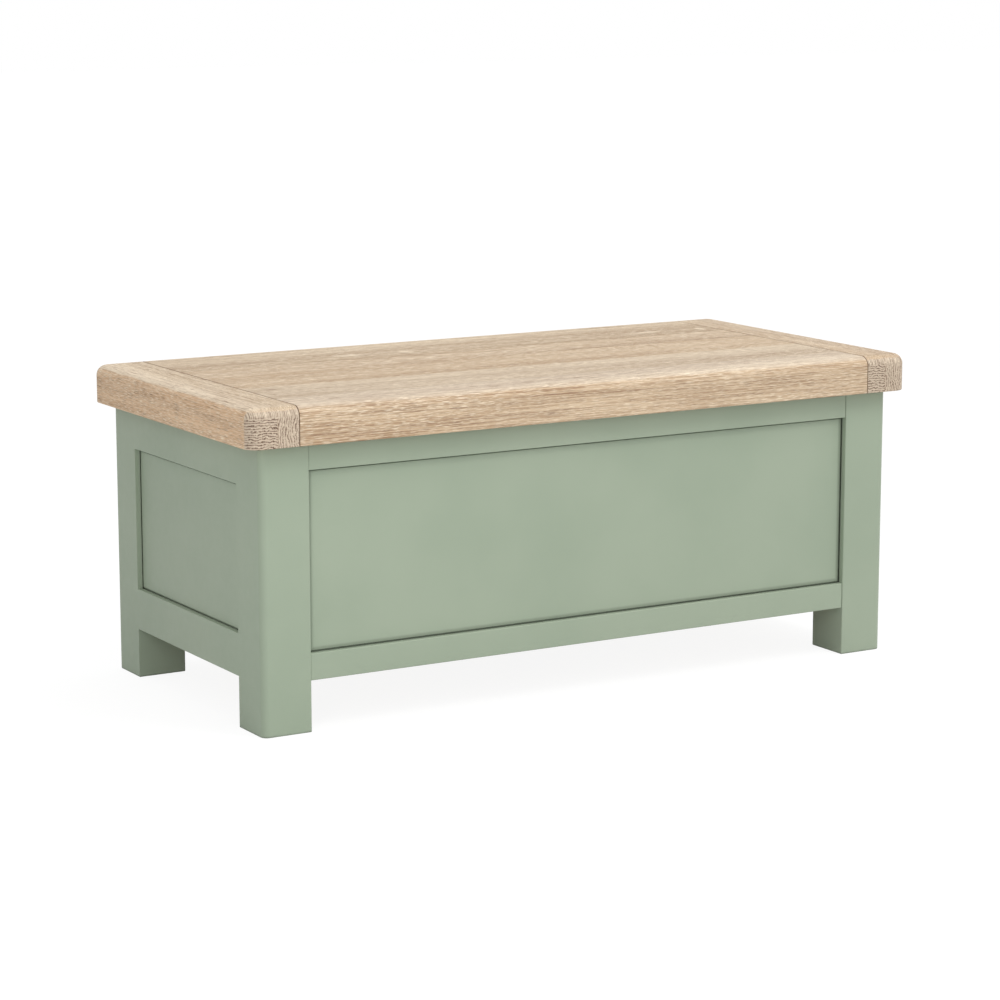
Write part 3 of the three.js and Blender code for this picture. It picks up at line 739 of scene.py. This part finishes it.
def from_slab(name, low, high):
    """A part of the rounded slab between two corners, with the cut edges just eased."""
    piece = slab.copy()
    piece.data = slab.data.copy()
    piece.name = name
    piece.data.name = name
    bpy.context.collection.objects.link(piece)
    joint(piece, "INTERSECT", block("tool", low, high))

    def is_cut(edge):
        return len(edge.link_faces) == 2 and edge.calc_face_angle() > cut_angle

    def at_cap(edge):
        return all(abs(abs(vert.co.x) - field_end) < 2 * seam_ease for vert in edge.verts)

    round_edges(piece, seam_ease, 3, lambda edge: is_cut(edge) and at_cap(edge))
    round_edges(piece, glue_ease, 2, lambda edge: is_cut(edge) and not at_cap(edge))
    return piece


tongue_half = 0.004
tongue_stop = 0.024
groove_slack = 0.0003
over = 0.05
bed_slack = 0.0003
bed_depth = 0.0016
trough_radius = 0.0041
tongue_up = lid_high.z - board_thickness / 2

board_tones = [
    (colour(212, 194, 172), colour(192, 174, 153)),
    (colour(180, 158, 132), colour(200, 180, 153)),
    (colour(184, 154, 118), colour(191, 162, 126)),
    (colour(181, 152, 119), colour(189, 161, 127)),
    (colour(166, 137, 102), colour(220, 199, 169)),
]
board_turns = [(0.62, 0.92), (0, 1), (0, 1), (0, 1), (0, 1)]
board_piths = [(-0.20, 0.34), (-0.16, 0.36), (-0.02, 0.52), (0.10, 0.35), (0.16, 0.54)]
board_edge = colour(193, 162, 127)
# A pin knot in the second board and light ray flecks in the last: place, half length and half width
board_knots = {1: [(-0.440, -0.105, 0.012, 0.007)]}
board_rays = {4: [
    (-0.185, 0.151, 0.034, 0.012),
    (-0.090, 0.146, 0.012, 0.018),
    (0.350, 0.151, 0.034, 0.010),
    (0.450, 0.146, 0.010, 0.016),
]}

for number, node in enumerate(boards):
    low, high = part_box(node)
    inner_x = field_end - cap_seam
    piece_low = Vector((-inner_x, low.y, lid_low.z - over))
    piece_high = Vector((inner_x, high.y, lid_high.z + over))
    if number == 0:
        piece_low.y -= over
    if number == len(boards) - 1:
        piece_high.y += over
    piece = from_slab("oak_" + node, piece_low, piece_high)
    hollow_low = Vector((lid_low.x, -hollow_half, lid_low.z - over))
    hollow_high = Vector((lid_high.x, hollow_half, hollow_top))
    if low.y < hollow_high.y and high.y > hollow_low.y:
        joint(piece, "DIFFERENCE", block("tool", hollow_low, hollow_high))
    tongue_low = Vector((low.x, max(low.y, lid_low.y + tongue_stop), tongue_up - tongue_half))
    tongue_high = Vector((high.x, min(high.y, lid_high.y - tongue_stop), tongue_up + tongue_half))
    joint(piece, "UNION", block("tool", tongue_low, tongue_high))
    if number == len(boards) - 1:
        for side in ("left", "right"):
            leaf_low, leaf_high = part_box("hinge_lid_leaf_" + side)
            pin_low, pin_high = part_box("hinge_pin_" + side)
            bed_low = Vector((leaf_low.x - bed_slack, leaf_low.y - bed_slack, lid_low.z - over))
            bed_high = Vector((leaf_high.x + bed_slack, leaf_high.y, lid_low.z + bed_depth))
            joint(piece, "DIFFERENCE", block("tool", bed_low, bed_high))
            axis_y = (pin_low.y + pin_high.y) / 2
            axis_z = (pin_low.z + pin_high.z) / 2
            trough_low = Vector((pin_low.x - bed_slack, axis_y - trough_radius, lid_low.z - over))
            trough_high = Vector((pin_high.x + bed_slack, axis_y + trough_radius, axis_z + trough_radius))
            joint(piece, "DIFFERENCE", block("tool", trough_low, trough_high))
    finish = oak(
        node, 0, [board_piths[number]], board_tones[number], board_turns[number], board_edge, number * 3.7,
        knots=board_knots.get(number, ()), rays=board_rays.get(number, ()))
    dress(piece, finish, "lid", node)

cap_tones = [
    (colour(240, 222, 196), colour(207, 185, 155)),
    (colour(202, 176, 143), colour(196, 174, 148)),
]
cap_turns = [(0.03, 0.60), (0, 1)]
cap_edge = colour(223, 184, 144)
cap_piths = [[(-0.53, 0.28), (-0.42, 0.42)], [(0.49, 0.28), (0.62, 0.44)]]
for number, node in enumerate(caps):
    toward_right = -1 if number == 0 else 1
    xs = sorted([toward_right * field_end, toward_right * (lid_high.x + over)])
    piece = from_slab("oak_" + node, (xs[0], lid_low.y - over, lid_low.z - over),
                      (xs[1], lid_high.y + over, lid_high.z + over))
    tongue_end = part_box("lid_board_3")[1].x + groove_slack
    xs = sorted([toward_right * (field_end - over), toward_right * tongue_end])
    groove_y = lid_high.y - tongue_stop + groove_slack
    groove_low = (xs[0], -groove_y, tongue_up - tongue_half - groove_slack)
    groove_high = (xs[1], groove_y, tongue_up + tongue_half + groove_slack)
    joint(piece, "DIFFERENCE", block("tool", groove_low, groove_high))
    finish = oak(
        node, 1, cap_piths[number], cap_tones[number], cap_turns[number], cap_edge, 23.0 + number * 5.1)
    dress(piece, finish, "lid", node)
bpy.data.objects.remove(slab)

# Hinges and stays: pressed and turned brass, lacquered and slightly aged. The hinges' leaves are let
# into the back rail and the lid, and each stay swings on a rivet and slides on a headed stud.
brass_bright = colour(204, 182, 136)
brass_aged = colour(176, 150, 104)
brass_relief = 0.00003
brass_ease = 0.0002
merge_gap = 0.000005
flat_angle = math.radians(2)

aged_brass, place = start_finish("aged_brass")
cloud = noise(place, 60.0, detail=4.0)
scratch = noise(place, (90.0, 90.0, 1400.0), detail=2.0, shift=5.0)
tint = cloud.span(0.35, 0.65).between(brass_bright, brass_aged)
gloss = (cloud * 0.6 + scratch * 0.4).span(0.3, 0.7, 0.26, 0.42)
end_finish(place, tint, gloss, scratch, brass_relief, Metallic=1.0)


def refine(name, node):
    """A copy of a CAD node with its loose triangles merged, its flats made whole and its edges eased."""
    piece = nodes[node].copy()
    piece.data = nodes[node].data.copy()
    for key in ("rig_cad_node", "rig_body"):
        del piece[key]
    piece.parent = None
    piece.name = name
    piece.data.name = name
    bpy.context.collection.objects.link(piece)
    pick(piece, "EDGE", lambda edge: True)
    bpy.ops.mesh.remove_doubles(threshold=merge_gap)
    bpy.ops.mesh.customdata_custom_splitnormals_clear()
    bpy.ops.mesh.dissolve_limited(angle_limit=flat_angle)
    bpy.ops.object.mode_set(mode="OBJECT")
    eased = piece.modifiers.new("eased", "BEVEL")
    eased.width = brass_ease
    eased.segments = 2
    eased.limit_method = "ANGLE"
    eased.angle_limit = smooth_angle
    apply_modifiers(piece)
    return piece


hinge_parts = ["hinge_case_leaf_", "hinge_lid_leaf_", "hinge_pin_"]
stay_parts = ["stay_bracket_", "stay_rivet_", "stay_arm_", "stay_stud_"]
for side in ("left", "right"):
    for part in hinge_parts + stay_parts:
        node = part + side
        dress(refine("brass_" + node, node), aged_brass, nodes[node]["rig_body"], node)

# Screws: countersunk brass with a cross in the head, three in each hinge leaf and two in each bracket
# and stud plate. One is made standing on its tip at the origin, and the others are copies of it.
screw_head = 0.0037
screw_core = 0.0018
screw_length = 0.014
cross_width = 0.0009
cross_reach = 0.0022
cross_depth = 0.0012
# Where the tip starts, as a part of the length, how wide its end is, as a part of the core, and how far
# each screw is turned from the one before it
tip_start = 0.75
tip_width = 0.2
screw_turn = 2.399963

bpy.ops.object.select_all(action="DESELECT")
bpy.ops.mesh.primitive_cylinder_add(vertices=32, radius=screw_head, depth=screw_length,
                                    location=(0, 0, -screw_length / 2))
bpy.ops.object.transform_apply(location=True, rotation=True, scale=True)
screw = bpy.context.object
screw.name = "screw_pattern"
head_depth = screw_head - screw_core
for level in (-head_depth, -screw_length * tip_start):
    pick(screw, "FACE", lambda part: True)
    bpy.ops.mesh.bisect(plane_co=(0, 0, level), plane_no=(0, 0, 1))
    bpy.ops.object.mode_set(mode="OBJECT")
for vert in screw.data.vertices:
    radius = math.hypot(vert.co.x, vert.co.y)
    wanted = screw_head if vert.co.z > -hair_breadth else screw_core
    if vert.co.z < -screw_length * tip_start - hair_breadth:
        wanted = screw_core * tip_width
    vert.co.x *= wanted / radius
    vert.co.y *= wanted / radius
for width, reach in ((cross_width, cross_reach), (cross_reach, cross_width)):
    joint(screw, "DIFFERENCE", block("tool", (-width, -reach, -cross_depth), (width, reach, cross_depth)))


def fit_screw(name, place, outward, body, number):
    """A copy of the screw, its head's face at the place and looking outward, turned as it came to rest."""
    piece = screw.copy()
    piece.data = screw.data.copy()
    piece.name = name
    bpy.context.collection.objects.link(piece)
    aim = Vector(outward).to_track_quat("Z", "Y").to_matrix().to_4x4()
    spin = Matrix.Rotation(number * screw_turn, 4, "Z")
    piece.data.transform(Matrix.Translation(place) @ aim @ spin)
    bpy.ops.object.select_all(action="DESELECT")
    piece.select_set(True)
    bpy.context.view_layer.objects.active = piece
    bpy.ops.object.shade_smooth_by_angle(angle=smooth_angle)
    piece.data.materials.append(aged_brass)
    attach(piece, body)


leaf_screw_gap = 0.027
leaf_screw_stagger = 0.003
leaf_screw_inset = 0.010
leaf_half_gap = 0.0005
plate_screw_half = 0.016
plate_thickness = 0.002
bracket_screw_half = 0.014
flange_screw_inset = 0.014
sunk = 0.0001
count = 0
for side, toward_right in (("left", -1), ("right", 1)):
    pin_low, pin_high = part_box("hinge_pin_" + side)
    axis = (pin_low + pin_high) / 2
    for leaf, up, body in (("case", 1, "case"), ("lid", -1, "lid")):
        leaf_low, leaf_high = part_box(f"hinge_{leaf}_leaf_{side}")
        plate_middle = leaf_low.y + leaf_screw_inset
        mouth = axis.z - up * (leaf_half_gap + sunk)
        for i in (-1, 0, 1):
            y = plate_middle + (leaf_screw_stagger if i == 0 else -leaf_screw_stagger)
            place = Vector((axis.x + i * leaf_screw_gap, y, mouth))
            fit_screw(f"screw_{leaf}_leaf_{side}_{i + 2}", place, (0, 0, up), body, count)
            count += 1
    bracket_low, bracket_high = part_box("stay_bracket_" + side)
    rivet_low, rivet_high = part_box("stay_rivet_" + side)
    rivet_y = (rivet_low.y + rivet_high.y) / 2
    stud_low, stud_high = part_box("stay_stud_" + side)
    stud = (stud_low + stud_high) / 2
    flange_x = toward_right * (max(abs(bracket_low.x), abs(bracket_high.x)) - flange_screw_inset)
    plate_x = toward_right * (max(abs(stud_low.x), abs(stud_high.x)) - plate_thickness + sunk)
    for i in (-1, 1):
        place = Vector((flange_x, rivet_y + i * bracket_screw_half, bracket_high.z - plate_thickness + sunk))
        fit_screw(f"screw_bracket_{side}_{i + 2}", place, (0, 0, -1), "lid", count)
        place = Vector((plate_x, stud.y + i * plate_screw_half, stud.z))
        fit_screw(f"screw_stud_plate_{side}_{i + 2}", place, (-toward_right, 0, 0), "case", count + 1)
        count += 2
bpy.data.objects.remove(screw)
